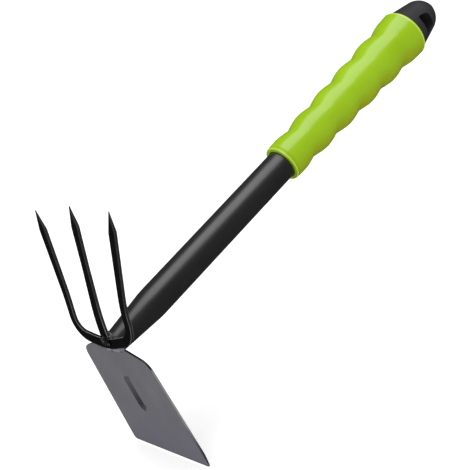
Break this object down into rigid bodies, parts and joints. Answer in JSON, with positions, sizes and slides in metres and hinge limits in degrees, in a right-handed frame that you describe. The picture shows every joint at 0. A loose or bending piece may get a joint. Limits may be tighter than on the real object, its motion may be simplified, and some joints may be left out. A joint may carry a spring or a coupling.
{
  "type": "double hoe",
  "caption": "Short-handled hand tool with a flat hoe blade and a three-tined fork on one steel shaft, and a ribbed grip with a hanging hole.",
  "frame": {"origin": "middle of the hanging hole, on the axis of the shaft", "axes": "+X along the shaft from the head to the hanging end, +Z the way the tines point, +Y across the head"},
  "size_m": [0.3415, 0.0829, 0.1597],
  "materials": {
    "shaft_paint": "satin dark grey paint",
    "blade_paint": "smooth grey paint",
    "tine_paint": "near black paint",
    "weld_paint": "painted weld bead",
    "core_plastic": "moulded charcoal plastic",
    "sleeve_rubber": "soft lime green elastomer"
  },
  "bodies": {
    "root": {"shaft_tube": "shaft_paint", "hoe_blade": "blade_paint", "outer_tines": "tine_paint", "middle_tine": "tine_paint", "middle_tine_weld": "weld_paint", "blade_weld": "weld_paint", "shaft_weld": "weld_paint", "handle_core": "core_plastic", "grip_sleeve": "sleeve_rubber"}
  },
  "joints": []
}
